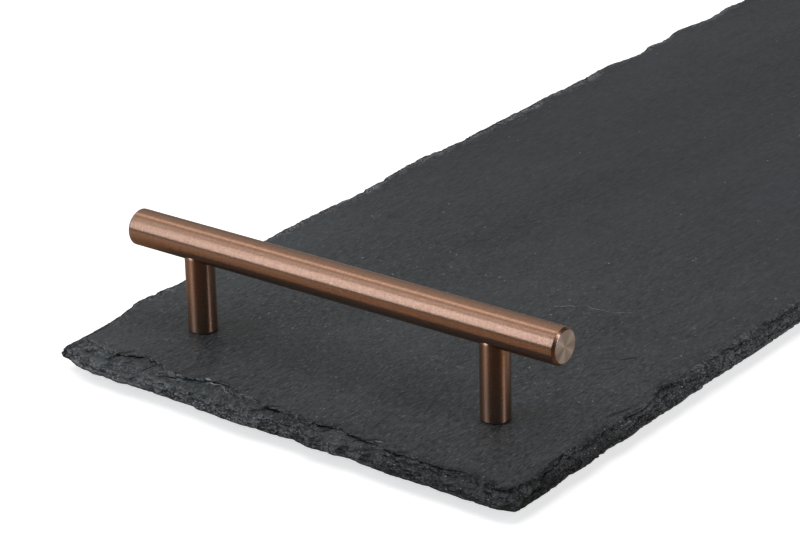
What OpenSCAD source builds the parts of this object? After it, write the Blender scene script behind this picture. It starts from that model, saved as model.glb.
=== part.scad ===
// Long slate serving board with a metal bar handle across each end.
// X runs across the board, Y along it, and Z up from the table. The origin is on the
// table under the middle of the board. The front handle is at -Y.

/* [Slate] */
// Overall length of the slate
board_l = 600; // [450:10:900]
// Overall width of the slate
board_w = 152; // [145:1:300]
// Thickness of the slate
board_t = 5; // [4:0.5:12]
// Deepest that the hand-cut outline wanders in from the overall size
wander_d = 6; // [0:0.5:10]
// Widest strip of the top face that is lost to the dressed edge
bevel_w = 10; // [4:0.5:14]
// Break of the arris under the slate
under_chamfer = 0.6; // [0.2:0.1:1.5]
// Depth of the small bites along the cut edge
bite_d = 0.5; // [0.1:0.1:1.2]
// Spacing of the small bites along the cut edge
bite_pitch = 9; // [6:0.5:20]
// Spacing of the points round the outline
station_pitch = 4; // [4:0.5:8]

/* [Handles] */
// Length of the handle bar
bar_l = 138; // [120:1:144]
// Diameter of the handle bar
bar_d = 10; // [9:0.5:16]
// Chamfer round each end of the bar
bar_chamfer = 0.7; // [0.2:0.1:1.5]
// Distance between the two posts of a handle
post_span = 96; // [64:1:108]
// Diameter of a post
post_d = 8; // [6.5:0.5:9]
// Chamfer round the foot of a post
post_chamfer = 0.4; // [0.1:0.1:0.8]
// Clear height between the slate and the bar
finger_gap = 20; // [18:1:40]
// Distance from the end of the slate to the middle of the bar
handle_inset = 33; // [24:1:60]
// Height of a post's flat end above the edge of its seat in the bar
seat_rise = 0.5; // [0.2:0.1:1]
// Gap round a post in its seat
seat_clear = 0.05; // [0.02:0.01:0.15]

/* [Fasteners] */
// Nominal diameter of every thread
thread_d = 4; // [3:0.5:5]
// Gap round a threaded shank in its hole
thread_clear = 0.05; // [0.02:0.01:0.1]
// Chamfer at the end of a threaded shank
thread_chamfer = 0.5; // [0.2:0.1:0.8]
// Depth of a tapped hole past the end of its thread
drill_run = 1; // [0.5:0.1:2]
// Length of a joining stud inside its post
stud_post_grip = 5.5; // [4:0.5:7]
// Length of a joining stud inside the bar
stud_bar_grip = 4; // [3:0.5:4.5]
// Width across the flats of the key socket in a stud
key_w = 2; // [1.5:0.1:2.2]
// Depth of the key socket in a stud
key_d = 2; // [1:0.5:3]
// Length of a slate screw inside its post
screw_grip = 6; // [4:0.5:8]
// Diameter of a slate screw's head
head_d = 8; // [7:0.5:9]
// Height of a slate screw's head
head_h = 2.4; // [2:0.1:3.2]
// Rounding of a slate screw's head
head_round = 1.8; // [0.5:0.1:1.9]
// Length of each arm of the cross in a screw's head
cross_l = 4.4; // [3:0.1:5]
// Width of each arm of the cross in a screw's head
cross_w = 0.9; // [0.6:0.1:1.2]
// Depth of the cross in a screw's head
cross_d = 1.3; // [0.8:0.1:1.6]
// Outer diameter of a washer
washer_d = 10; // [9.5:0.5:14]
// Bore of a washer
washer_bore = 4.4; // [4.2:0.1:5.4]
// Thickness of a washer
washer_t = 0.8; // [0.5:0.1:1.5]
// Diameter of the screw holes in the slate
slate_hole_d = 5; // [4.5:0.1:6]

/* [Feet] */
// Diameter of a rubber foot where it is stuck to the slate
foot_d = 12; // [8:0.5:16]
// How much narrower a foot is at the table, on each side
foot_taper = 0.8; // [0:0.1:1.5]
// Rounding of the lower rim of a foot
foot_round = 1; // [0.3:0.1:1.5]
// Distance of a foot's middle from the edges of the slate
foot_inset = 18; // [15:1:20]
// Clear height between the screw heads and the table
head_clear = 0.8; // [0.3:0.1:4]

/* [Hidden] */

// Facets of the round metal pieces and of the rubber
round_fn = 72;
// Step of the arcs in a profile, in degrees
arc_step = 15;
// How far a cutting shape runs past the face that it cuts
overrun = 0.5;

// The feet lift the screw heads clear of the table
foot_h = head_clear + head_h + washer_t;
slate_under_z = foot_h;
slate_top_z = foot_h + board_t;
bar_z = slate_top_z + finger_gap + bar_d / 2;
bar_y = board_l / 2 - handle_inset;
post_x = post_span / 2;
foot_x = board_w / 2 - foot_inset;
foot_y = board_l / 2 - foot_inset;

// A post meets the round bar along a saddle line, highest at the post's two sides, and
// its flat end lies a little above that, in a round seat cut into the bar.
saddle_drop = sqrt(max(0, pow(bar_d / 2, 2) - pow(post_d / 2, 2)));
seat_z = bar_z - saddle_drop + seat_rise;
post_l = seat_z - slate_top_z;

// Outline and edge of the slate. The tables of each side run from its left or near
// corner, as [share of the side's length, share of the size]. The sides are in the
// order near, right, far, left.
wander_shares = [
    [[0, 1], [0.034, 0.72], [0.066, 0.42], [0.105, 0.38], [0.17, 0.33], [0.214, 0.4],
     [0.25, 0.34], [0.27, 0.32], [0.3, 0.38], [0.33, 0.25], [0.38, 0.18], [0.454, 0.13],
     [0.468, 0.23], [0.487, 0.17], [0.537, 0.22], [0.572, 0.13], [0.61, 0.07], [0.66, 0.12],
     [0.69, 0.07], [0.74, 0.07], [0.82, 0.02], [0.87, 0], [0.95, 0], [0.985, 0.05], [1, 0.25]],
    [[0, 0.25], [0.006, 0.05], [0.017, 0.05], [0.027, 0], [0.04, 0.06], [0.055, 0], [0.08, 0.03],
     [0.105, 0.07], [0.131, 0.09], [0.142, 0], [0.157, 0.06], [0.175, 0], [0.183, 0.04], [0.2, 0],
     [0.27, 0.05], [0.31, 0.16], [0.33, 0.04], [0.42, 0.02], [0.47, 0.14], [0.5, 0.2],
     [0.53, 0.05], [0.6, 0.02], [0.68, 0.1], [0.71, 0.26], [0.73, 0.08], [0.8, 0], [0.88, 0.1],
     [0.93, 0.05], [0.98, 0.2], [1, 0.6]],
    [[0, 0.5], [0.04, 0.2], [0.12, 0.05], [0.22, 0], [0.3, 0.18], [0.34, 0.3], [0.38, 0.12],
     [0.52, 0.1], [0.6, 0.2], [0.72, 0.05], [0.85, 0.16], [0.95, 0.3], [1, 0.7]],
    [[0, 0.05], [0.06, 0.08], [0.1, 0.16], [0.155, 0.2], [0.165, 0.14], [0.18, 0.08],
     [0.197, 0.24], [0.208, 0.37], [0.217, 0.18], [0.24, 0.13], [0.255, 0.02], [0.268, 0],
     [0.282, 0.08], [0.3, 0.13], [0.33, 0.12], [0.347, 0], [0.361, 0.15], [0.38, 0], [0.39, 0.07],
     [0.405, 0.15], [0.43, 0.02], [0.45, 0.08], [0.464, 0.4], [0.473, 0.42], [0.487, 0.1],
     [0.495, 0.28], [0.51, 0.1], [0.523, 0.02], [0.534, 0.12], [0.543, 0.33], [0.549, 0.38],
     [0.565, 0.23], [0.573, 0.18], [0.583, 0.28], [0.61, 0.06], [0.64, 0.1], [0.7, 0.03],
     [0.74, 0.2], [0.77, 0.04], [0.84, 0.08], [0.87, 0.3], [0.9, 0.06], [0.97, 0.1], [1, 0.5]]
];
bevel_shares = [
    [[0, 0.45], [0.03, 0.5], [0.07, 0.65], [0.117, 0.46], [0.147, 1], [0.174, 0.7], [0.21, 0.67],
     [0.222, 0.26], [0.247, 0.34], [0.27, 0.67], [0.293, 0.47], [0.336, 0.88], [0.384, 0.62],
     [0.44, 0.4], [0.5, 0.45], [0.56, 0.32], [0.595, 0.43], [0.624, 0.67], [0.65, 0.4],
     [0.717, 0.36], [0.75, 0.28], [0.8, 0.33], [0.85, 0.33], [0.88, 0.25], [0.911, 0.49],
     [0.955, 0.27], [1, 0.25]],
    [[0, 0.3], [0.013, 0.15], [0.03, 0.22], [0.042, 0.33], [0.056, 0.34], [0.072, 0.26],
     [0.09, 0.18], [0.1, 0.16], [0.108, 0.3], [0.115, 0.68], [0.122, 0.18], [0.135, 0.16],
     [0.151, 0.25], [0.164, 0.3], [0.177, 0.18], [0.194, 0.26], [0.212, 0.26], [0.23, 0.2],
     [0.26, 0.12], [0.3, 0.36], [0.33, 0.5], [0.36, 0.16], [0.44, 0.24], [0.5, 0.62], [0.53, 0.2],
     [0.6, 0.14], [0.66, 0.3], [0.7, 0.55], [0.74, 0.18], [0.83, 0.26], [0.9, 0.42], [0.93, 0.18],
     [1, 0.35]],
    [[0, 0.4], [0.1, 0.22], [0.2, 0.5], [0.26, 0.2], [0.36, 0.72], [0.42, 0.24], [0.55, 0.3],
     [0.64, 0.58], [0.7, 0.2], [0.84, 0.26], [0.9, 0.5], [1, 0.32]],
    [[0, 0.45], [0.012, 0.43], [0.027, 0.34], [0.038, 0.3], [0.045, 0.2], [0.06, 0.16],
     [0.1, 0.1], [0.2, 0.08], [0.36, 0.1], [0.46, 0.08], [0.55, 0.1], [0.6, 0.1], [0.72, 0.3],
     [0.78, 0.12], [0.86, 0.36], [0.9, 0.14], [1, 0.34]]
];
// Height share and setback share of each line round the edge above the broken arris
edge_line_shares = [[0.14, 0], [0.5, 0.28], [0.84, 0.86], [1, 1]];
// Shares that keep the bites from falling into step with each other
bite_beat_share = 0.37;
bite_line_share = 0.3;

function half_length(side) = (side % 2 == 0 ? board_w : board_l) / 2;
function half_reach(side) = (side % 2 == 0 ? board_l : board_w) / 2;
function stations(side) = max(2, round(2 * half_length(side) / station_pitch));
// The tables of the far and left sides are read backwards, as the outline turns anticlockwise
function table_place(side, share) = side > 1 ? 1 - share : share;
// Two sine waves of unlike length, never below zero
function bite(place) =
    bite_d * (2 + sin(360 * place / bite_pitch) + sin(360 * place * bite_beat_share / bite_pitch)) / 4;
function place_round(side, share) = (side * 2 + share * 2) * half_length(side);
function raw_wander(side, share) =
    wander_d * lookup(table_place(side, share), wander_shares[side]) + bite(place_round(side, share));
// Least wander of each side, taken off so that the slate reaches its overall size
least_wander = [for (side = [0:3])
    min([for (k = [0:stations(side)]) raw_wander(side, k / stations(side))])];
function wander(side, share) = raw_wander(side, share) - least_wander[side];
function bevel(side, share) =
    bevel_w * lookup(table_place(side, share), bevel_shares[side]) + bite(place_round(side, share) * 2);
// Inset of one line round the edge: the underside's line, then those of the table
function inset(side, share, line) = wander(side, share) + (line == 0 ? under_chamfer
    : bevel(side, share) * edge_line_shares[line - 1][1]
        + (line == 1 ? 0 : bite_line_share * bite(place_round(side, share) * line)));
function line_z(line) = line == 0 ? 0 : board_t * edge_line_shares[line - 1][0];
// A point of one line, worked out on the near side and turned to its own side
function edge_point(side, share, line) = let(
        before = inset((side + 3) % 4, 1, line), after = inset((side + 1) % 4, 0, line),
        along = -half_length(side) + before + share * (2 * half_length(side) - before - after),
        out = inset(side, share, line) - half_reach(side),
        c = cos(90 * side), s = sin(90 * side)
    ) [along * c - out * s, along * s + out * c, line_z(line)];
function edge_line(line) = [for (side = [0:3]) for (k = [0:stations(side) - 1])
    edge_point(side, k / stations(side), line)];
// Arc of a profile from pointing down to pointing outwards, about its own centre
function rim_arc(centre_x, centre_y, radius) = [for (a = [0:arc_step:90])
    [centre_x + radius * sin(a), centre_y - radius * cos(a)]];

// Broken slate, flat on both faces, with rings of points round its dressed edge
module broken_blank() {
    lines = len(edge_line_shares) + 1;
    rings = [for (line = [0:lines - 1]) edge_line(line)];
    n = len(rings[0]);
    walls = [for (j = [0:lines - 2]) for (k = [0:n - 1]) let(
            a = j * n + k, b = j * n + (k + 1) % n, c = a + n, d = b + n
        ) each [[a, c, d], [a, d, b]]];
    under = [for (k = [0:n - 1]) k];
    top = [for (k = [n - 1:-1:0]) (lines - 1) * n + k];
    polyhedron([for (ring = rings) each ring], concat([under], walls, [top]));
}

module slate_slab() {
    color("#44494c")
    difference() {
        translate([0, 0, slate_under_z]) broken_blank();
        for (end = [-1, 1]) for (side = [-1, 1])
            translate([side * post_x, end * bar_y, slate_under_z - overrun])
                cylinder(h = board_t + 2 * overrun, d = slate_hole_d, $fn = round_fn);
    }
}

// Round bar with a chamfer at each end, and below it a round seat and a tapped hole
// for each post
module handle_bar(end) {
    r = bar_d / 2;
    hole_l = stud_bar_grip + drill_run;
    color("#b9806a")
    translate([0, end * bar_y, bar_z])
    difference() {
        rotate([0, 90, 0])
            rotate_extrude($fn = round_fn)
                polygon([
                    [0, -bar_l / 2], [r - bar_chamfer, -bar_l / 2], [r, bar_chamfer - bar_l / 2],
                    [r, bar_l / 2 - bar_chamfer], [r - bar_chamfer, bar_l / 2], [0, bar_l / 2]
                ]);
        for (side = [-1, 1]) translate([side * post_x, 0, 0]) {
            translate([0, 0, -r - overrun])
                cylinder(h = r + overrun + seat_z - bar_z, d = post_d + 2 * seat_clear, $fn = round_fn);
            translate([0, 0, seat_z - bar_z - overrun])
                cylinder(h = hole_l + overrun, d = thread_d, $fn = round_fn);
        }
    }
}

// Post with a chamfered foot, tapped from below for the slate screw and from above for
// the joining stud
module post(side, end) {
    r = post_d / 2;
    screw_hole_l = screw_grip + drill_run;
    stud_hole_l = stud_post_grip + drill_run;
    color("#a06a52")
    translate([side * post_x, end * bar_y, slate_top_z])
    difference() {
        rotate_extrude($fn = round_fn)
            polygon([
                [0, 0], [r - post_chamfer, 0], [r, post_chamfer], [r, post_l], [0, post_l]
            ]);
        translate([0, 0, -overrun])
            cylinder(h = screw_hole_l + overrun, d = thread_d, $fn = round_fn);
        translate([0, 0, post_l - stud_hole_l])
            cylinder(h = stud_hole_l + overrun, d = thread_d, $fn = round_fn);
    }
}

// Headless threaded stud that joins a post to the bar, with a key socket in its top
module joining_stud(side, end) {
    r = thread_d / 2 - thread_clear;
    l = stud_post_grip + stud_bar_grip;
    color("#8d8f92")
    translate([side * post_x, end * bar_y, seat_z - stud_post_grip])
    difference() {
        rotate_extrude($fn = round_fn)
            polygon([
                [0, 0], [r - thread_chamfer, 0], [r, thread_chamfer],
                [r, l - thread_chamfer], [r - thread_chamfer, l], [0, l]
            ]);
        translate([0, 0, l - key_d])
            cylinder(h = key_d + overrun, d = key_w / cos(30), $fn = 6);
    }
}

// Pan-head screw, driven upwards through the washer and the slate into the post
module slate_screw(side, end) {
    r = thread_d / 2 - thread_clear;
    l = washer_t + board_t + screw_grip;
    color("#b4b6b8")
    translate([side * post_x, end * bar_y, slate_under_z - washer_t])
    difference() {
        rotate_extrude($fn = round_fn)
            polygon(concat(
                [[0, -head_h]],
                rim_arc(head_d / 2 - head_round, head_round - head_h, head_round),
                [[head_d / 2, 0], [r, 0], [r, l - thread_chamfer], [r - thread_chamfer, l], [0, l]]
            ));
        for (turn = [0, 90]) rotate([0, 0, turn])
            translate([-cross_l / 2, -cross_w / 2, -head_h - overrun])
                cube([cross_l, cross_w, cross_d + overrun]);
    }
}

module washer(side, end) {
    color("#a9abad")
    translate([side * post_x, end * bar_y, slate_under_z - washer_t])
    difference() {
        cylinder(h = washer_t, d = washer_d, $fn = round_fn);
        translate([0, 0, -overrun])
            cylinder(h = washer_t + 2 * overrun, d = washer_bore, $fn = round_fn);
    }
}

// Stick-on rubber foot, narrower and rounded at the table
module foot(side, end) {
    rim_r = foot_d / 2 - foot_taper;
    color("#26282a")
    translate([side * foot_x, end * foot_y, 0])
    rotate_extrude($fn = round_fn)
        polygon(concat(
            [[0, 0]],
            rim_arc(rim_r - foot_round, foot_round, foot_round),
            [[foot_d / 2, foot_h], [0, foot_h]]
        ));
}

slate_slab();
handle_bar(-1);  // front_handle_bar
handle_bar(1);  // rear_handle_bar
post(-1, -1);  // front_left_post
post(1, -1);  // front_right_post
post(-1, 1);  // rear_left_post
post(1, 1);  // rear_right_post
joining_stud(-1, -1);  // front_left_joining_stud
joining_stud(1, -1);  // front_right_joining_stud
joining_stud(-1, 1);  // rear_left_joining_stud
joining_stud(1, 1);  // rear_right_joining_stud
slate_screw(-1, -1);  // front_left_slate_screw
slate_screw(1, -1);  // front_right_slate_screw
slate_screw(-1, 1);  // rear_left_slate_screw
slate_screw(1, 1);  // rear_right_slate_screw
washer(-1, -1);  // front_left_washer
washer(1, -1);  // front_right_washer
washer(-1, 1);  // rear_left_washer
washer(1, 1);  // rear_right_washer
foot(-1, -1);  // front_left_foot
foot(1, -1);  // front_right_foot
foot(-1, 1);  // rear_left_foot
foot(1, 1);  // rear_right_foot
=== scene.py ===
# Slate serving board with a copper-coloured bar handle across each end
import bpy
import math
import numpy as np
from mathutils import Matrix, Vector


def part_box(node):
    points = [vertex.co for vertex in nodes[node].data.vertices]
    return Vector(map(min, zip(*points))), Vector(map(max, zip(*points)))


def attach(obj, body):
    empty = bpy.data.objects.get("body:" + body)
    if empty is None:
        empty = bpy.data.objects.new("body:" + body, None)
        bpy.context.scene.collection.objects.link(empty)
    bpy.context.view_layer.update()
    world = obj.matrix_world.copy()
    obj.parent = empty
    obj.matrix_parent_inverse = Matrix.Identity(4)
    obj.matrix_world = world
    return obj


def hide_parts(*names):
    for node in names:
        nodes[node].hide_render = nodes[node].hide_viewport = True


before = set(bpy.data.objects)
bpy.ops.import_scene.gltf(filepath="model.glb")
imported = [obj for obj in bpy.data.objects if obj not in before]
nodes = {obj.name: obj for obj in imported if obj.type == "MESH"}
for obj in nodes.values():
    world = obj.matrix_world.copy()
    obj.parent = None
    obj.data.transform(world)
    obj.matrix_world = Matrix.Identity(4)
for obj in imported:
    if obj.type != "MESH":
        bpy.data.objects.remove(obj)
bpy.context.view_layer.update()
mm = 0.001                                                        # in m
print("frame loaded,", len(nodes), "nodes")


# Helpers
def linear(hexColour):
    # sRGB hex to linear RGBA
    parts = [int(hexColour[i:i + 2], 16) / 255 for i in (1, 3, 5)]
    return tuple(c / 12.92 if c <= 0.04045 else ((c + 0.055) / 1.055) ** 2.4 for c in parts) + (1.0,)


def addNode(tree, kind, inputs=(), **settings):
    # a shader node with its settings; its inputs come by name, or in order over the sockets in use. An
    # output given as a value becomes a link, and a node given as a value stands for its first output
    node = tree.nodes.new("ShaderNode" + kind)
    for key, value in settings.items():
        setattr(node, key, value)
    sockets = [socket for socket in node.inputs if socket.enabled]
    if isinstance(inputs, dict):
        sockets = [node.inputs[name] for name in inputs]
        inputs = inputs.values()
    for socket, value in zip(sockets, inputs):
        if isinstance(value, bpy.types.Node):
            value = next(output for output in value.outputs if output.enabled)
        if isinstance(value, bpy.types.NodeSocket):
            tree.links.new(value, socket)
        else:
            socket.default_value = value
    return node


def newMaterial(name):
    # a material with an empty node tree
    material = bpy.data.materials.new(name)
    material.use_nodes = True
    tree = material.node_tree
    tree.nodes.clear()
    return material, tree


def newPiece(name, points, faces, smooth=True):
    # a mesh object at the origin; smooth is one value for all faces or one for each
    mesh = bpy.data.meshes.new(name)
    mesh.from_pydata(np.asarray(points).tolist(), [], faces)
    mesh.update()
    mesh.polygons.foreach_set("use_smooth", np.broadcast_to(np.asarray(smooth, bool), len(faces)).copy())
    piece = bpy.data.objects.new(name, mesh)
    bpy.context.scene.collection.objects.link(piece)
    return piece


def smoothNoise(u, v, seed, periodU=None):
    # value noise from -1 to 1: seeded random numbers at whole-number points, joined by smooth steps;
    # periodU closes it round the outline
    size = 256
    table = np.random.default_rng(seed).uniform(-1, 1, (size, size))
    u, v = np.broadcast_arrays(np.asarray(u, float), np.asarray(v, float))
    i, j = np.floor(u).astype(int), np.floor(v).astype(int)
    a, b = u - i, v - j
    a, b = a * a * (3 - 2 * a), b * b * (3 - 2 * b)
    wrap = periodU or size
    i0, i1, j0, j1 = i % wrap % size, (i + 1) % wrap % size, j % size, (j + 1) % size
    return ((table[i0, j0] * (1 - a) + table[i1, j0] * a) * (1 - b)
            + (table[i0, j1] * (1 - a) + table[i1, j1] * a) * b)


def viewAxes(azimuth, elevation):
    # right, up and back of a camera or lamp that looks at the board from these angles, in degrees
    az, el = math.radians(azimuth), math.radians(elevation)
    back = np.array([math.sin(az) * math.cos(el), -math.cos(az) * math.cos(el), math.sin(el)])
    right = np.array([math.cos(az), math.sin(az), 0])
    return right, np.cross(back, right), back


def addToScene(thing, place, axes):
    # at a place in m, with its X, Y and Z along the three axes
    turn = Matrix(np.column_stack(axes).tolist())
    thing.matrix_world = Matrix.Translation(place.tolist()) @ turn.to_4x4()
    bpy.context.scene.collection.objects.link(thing)


# Camera
camera = {
    "place": (440.75, -813.58, 338.25),                           # mm, from the photograph's straight lines
    "azimuth": 37.655, "elevation": 23.138, "roll": -1.416,       # degrees
    "lens": 134.76, "sensor": 36.0,                               # mm
    "clip": (0.05, 50),                                           # m
}


def addCamera(c):
    # it looks from the two angles and is then rolled about its line of sight
    right, up, back = viewAxes(c["azimuth"], c["elevation"])
    roll = math.radians(c["roll"])
    turnedRight = math.cos(roll) * right + math.sin(roll) * up
    turnedUp = -math.sin(roll) * right + math.cos(roll) * up
    lens = bpy.data.cameras.new("camera")
    lens.lens, lens.sensor_width = c["lens"], c["sensor"]
    lens.clip_start, lens.clip_end = c["clip"]
    eye = bpy.data.objects.new("camera", lens)
    addToScene(eye, np.array(c["place"]) * mm, (turnedRight, turnedUp, back))
    bpy.context.scene.camera = eye


addCamera(camera)


# Room: floor, world and lamps
room = {
    "floorColour": "#e9e8e6", "floorHalf": 12.0, "floorLift": 0.66,    # half its size in m, white added
    # the table as the metal sees it: a semi-gloss top over a painted reflection, a glow that only glossy
    # rays see, dark in front of the handle and light behind it
    "reflectedGlowDark": "#2b1f16", "reflectedGlowLight": "#aab0b2", "tableRoughness": 0.5,
    "tableGloss": "#9c8873", "farGloss": "#272727",
    # m along and across the board between which the painted glow turns light, how light it gets at the left,
    # and m from the middle between which the gloss fades
    "lightBehind": (-0.25, -0.19), "lightLeft": (-0.085, -0.16, 0, 0.45), "glossFade": (0.42, 0.62),
    "horizon": ((0.0, "#564636"), (0.06, "#564636"), (0.3, "#9c9c9c"), (0.55, "#a6a4a2"), (0.8, "#bcb8b4")),
    # the photographer's end of the room is dark, and a black card stands in the back of the studio:
    # direction, its dot products with a ray's where the dimming begins and ends, and the levels there
    "cameraSide": ((0.64, -0.77, 0.0), (-0.2, 0.5, 1, 0.12)),
    "blackCard": ((0.393, 0.728, 0.562), (0.88, 0.93, 1, 0.12)),
    # azimuth and elevation in degrees, distance, width and height in m, level where 1 is white, and colour
    "lamps": {
        "keyWindow": (-33.5, 24.5, 1.5, 0.68, 1.12, 2.6, "#e4f0ff"),
        "upperWindow": (-55, 51, 1.5, 0.5, 0.55, 0.95, "#f2f6ff"),
        "roofStrip": (-102, 59, 1.5, 0.34, 0.7, 1.0, "#fffaf4"),
        "sideWindow": (98, 23, 1.5, 0.25, 1.15, 5.4, "#f4f8ff"),
        "overheadFill": (10, 78, 2.0, 1.6, 1.6, 2.2, "#ffffff"),
    },
    "aim": (0, -267, 20),                                         # mm, the point that the lamps face
}


def straightRays(tree):
    # 1 for rays that come straight from the camera, also through clear pieces, and 0 for all others
    rays = addNode(tree, "LightPath").outputs
    return addNode(tree, "Math", (rays["Is Camera Ray"], rays["Is Transmission Ray"]), operation="MAXIMUM")


def addRoom(r):
    # the world: white behind the board, and a dim studio with a dark horizon for everything else
    world = bpy.data.worlds.new("studio")
    bpy.context.scene.world = world
    world.use_nodes = True
    tree = world.node_tree
    tree.nodes.clear()
    direction = addNode(tree, "TexCoord").outputs["Generated"]
    parts = addNode(tree, "SeparateXYZ", (direction,)).outputs
    ramp = addNode(tree, "ValToRGB", (parts["Z"],))
    while len(ramp.color_ramp.elements) < len(r["horizon"]):
        ramp.color_ramp.elements.new(0.5)
    for element, (place, tone) in zip(ramp.color_ramp.elements, r["horizon"]):
        element.position, element.color = place, linear(tone)
    level = 1.0
    for name in ("cameraSide", "blackCard"):
        towards, dimming = r[name]
        dot = addNode(tree, "VectorMath", (direction, towards), operation="DOT_PRODUCT")
        shade = addNode(tree, "MapRange", (dot, *dimming))
        level = addNode(tree, "Math", (shade, level), operation="MULTIPLY")
    dim = addNode(tree, "Background", {"Color": ramp, "Strength": level})
    white = addNode(tree, "Background", {"Color": (1, 1, 1, 1), "Strength": 1.0})
    mix = addNode(tree, "MixShader", (straightRays(tree), dim, white))
    addNode(tree, "OutputWorld", {"Surface": mix})

    # the floor: pale, and lifted to white for the camera but for the board's shadow
    material, tree = newMaterial("paintedFloor")
    lift = addNode(tree, "Math", (straightRays(tree), r["floorLift"]), operation="MULTIPLY")
    plain = addNode(tree, "BsdfDiffuse", {"Color": linear(r["floorColour"])})
    glow = addNode(tree, "Emission", {"Color": (1, 1, 1, 1), "Strength": lift})
    shown = addNode(tree, "AddShader", (plain, glow))
    place = addNode(tree, "TexCoord").outputs["Object"]
    parts = addNode(tree, "SeparateXYZ", (place,)).outputs
    # painted reflection: for glossy rays the floor glows, dark in front of the handle and light behind and
    # beside it
    behind = addNode(tree, "MapRange", (parts["Y"], *r["lightBehind"]))
    beside = addNode(tree, "MapRange", (parts["X"], *r["lightLeft"]))
    shine = addNode(tree, "Math", (behind, beside), operation="MAXIMUM")
    tone = addNode(tree, "Mix", (shine, linear(r["reflectedGlowDark"]), linear(r["reflectedGlowLight"])), data_type="RGBA")
    body = addNode(tree, "Emission", {"Color": tone, "Strength": 1.0})
    far = addNode(tree, "VectorMath", (place,), operation="LENGTH")
    fade = addNode(tree, "MapRange", (far, *r["glossFade"]))
    gloss = addNode(tree, "Mix", (fade, linear(r["tableGloss"]), linear(r["farGloss"])), data_type="RGBA")
    sheen = addNode(tree, "BsdfAnisotropic", {"Color": gloss, "Roughness": r["tableRoughness"]})
    reflected = addNode(tree, "AddShader", (body, sheen))
    glossy = addNode(tree, "LightPath").outputs["Is Glossy Ray"]
    mix = addNode(tree, "MixShader", (glossy, shown, reflected))
    addNode(tree, "OutputMaterial", {"Surface": mix})
    material.cycles.emission_sampling = "NONE"
    h = r["floorHalf"]
    floor = newPiece("floor", [(-h, -h, 0), (h, -h, 0), (h, h, 0), (-h, h, 0)], [(0, 1, 2, 3)], False)
    floor.data.materials.append(material)

    # softboxes that face the near handle; the fill is too soft to show in the metal
    aim = np.array(r["aim"]) * mm
    for name, (azimuth, elevation, distance, width, height, level, tone) in r["lamps"].items():
        axes = viewAxes(azimuth, elevation)
        lamp = bpy.data.lights.new(name, "AREA")
        lamp.shape, lamp.size, lamp.size_y = "RECTANGLE", width, height
        lamp.energy = level * math.pi * width * height
        lamp.color = linear(tone)[:3]
        box = bpy.data.objects.new(name, lamp)
        box.visible_camera = False
        box.visible_glossy = name != "overheadFill"
        addToScene(box, aim + axes[2] * distance, axes)


addRoom(room)
bpy.context.scene.view_settings.view_transform = "Standard"
print("camera and room ready")


# Slate
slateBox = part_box("slate_slab")
postMiddle = (48.0, 267.0)                                        # mm, from the board's middle
slate = {
    "node": "slate_slab",
    "halfX": slateBox[1][0] / mm, "halfY": slateBox[1][1] / mm,   # mm, from the frame
    "under": slateBox[0][2] / mm, "top": slateBox[1][2] / mm,
    "edgeHeights": (4.0, 4.7, 6.5, 8.2, 9.0), "heightSlack": 0.02,     # mm, the lines of the CAD edge
    "cellsX": 44, "cellsY": 212, "stationsPerCell": 4,            # grids of both faces, stations of the edge
    "inner": 16.0, "underInner": 9.5,                             # mm, insets where the faces' grids begin
    "innerGap": 2.2,                                              # mm left between the edge and the grids
    # rows of points up the edge, and shares of the way from its arris to the grid
    "rows": 27, "rimSteps": (0.012, 0.05, 0.12, 0.22, 0.36, 0.52, 0.7, 0.88),
    # layers: mm where the stone splits, mm up or down and along that this wanders, and how far apart the
    # layers lie in the noise; then mm along and deep of their jags
    "layers": (5.1, 6.3, 7.4, 8.3), "wander": (0.75, 21, 7.3),
    "jags": ((5.2, 0.5), (1.5, 0.3)), "jagsApart": 3.7,
    # they show in patches, by their size in mm and the most, and round a place near the left corner, by the
    # mm from it at which they are full and gone and the most
    "layerPatches": (13, 0.6), "layersShowAt": 26.0, "layersFade": (24, 64), "layersShow": 0.3,
    # mm along which the two upper lines are evened, and how far the arris is drawn in to the row below it
    "arrisEase": 7.0, "arrisPull": 0.6,
    # shell-shaped chips in two sizes: number, half length and half height in mm, depth per half length
    "chips": ((360, (1.6, 4.8), (0.8, 2.4), (0.07, 0.16)), (1400, (0.6, 1.7), (0.3, 0.9), (0.12, 0.34))),
    # cracks: half length, half height and depth in mm, height as least, likeliest and most, and most slope
    "cracks": 70, "crackHalf": (1.0, 4.0), "crackTall": (0.13, 0.26), "crackDepth": (0.3, 1.1),
    "cracksAt": (5.0, 8.6, 8.8), "crackSlope": 0.07,
    # lips over a slit, listed one by one: mm round from the near left corner, half length, depth; then
    # height
    "lips": ((19.5, 4, 1.6), (30, 3, 1.4), (40, 7, 1.5), (50, 5, 1.2), (70.5, 6, 1.7), (93, 3.5, 1.6),
             (104.5, 5.5, 2.2), (115.5, 3, 1.4), (127, 5, 1.5), (171, 8, 1.8), (206, 6, 2.0)),
    "lipsAt": 8.45,
    # unevenness: mm along, up and deep, mm by which it is sunk, and its least share
    "roughness": ((4.5, 2.2, 0.22), (2.1, 1.1, 0.2), (1.05, 0.5, 0.2), (0.74, 0.25, 0.17)),
    "roughLift": 0.18, "roughLeast": 0.15,
    "sideSet": (-0.1, -1.4, -0.6, -0.6),                          # mm inwards: near, right, far, left side
    "swells": ((1347, 12, 2.8), (1475, 12, 1.8)),                 # place, half length, mm outwards
    "softLimit": 0.25, "rimDrop": 0.3, "rimFade": 1.1, "ridgeShadingDepth": 0.45,                     # mm
    "jitter": 0.07,                                               # mm up or down of each point
    # how broken it looks: on the arris, on the rim, mm in which that fades, and how much it varies
    "arrisBroken": 0.9, "rimBroken": 0.85, "rimWorn": 2.6, "rimPatches": 0.5,
    # treads: mm inwards per mm up, and how much calmer they are; then stations that means take in each way
    "treadSlope": 2.2, "treadSmooth": 0.78, "treadSpread": (1, 2, 4), "ridgeShadingSpread": (1, 2),
    "seeds": {"chips": 11, "jitter": 12, "wander": 43, "patches": 46, "jags": 47, "rough": 51, "rim": 61},
}


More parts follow.
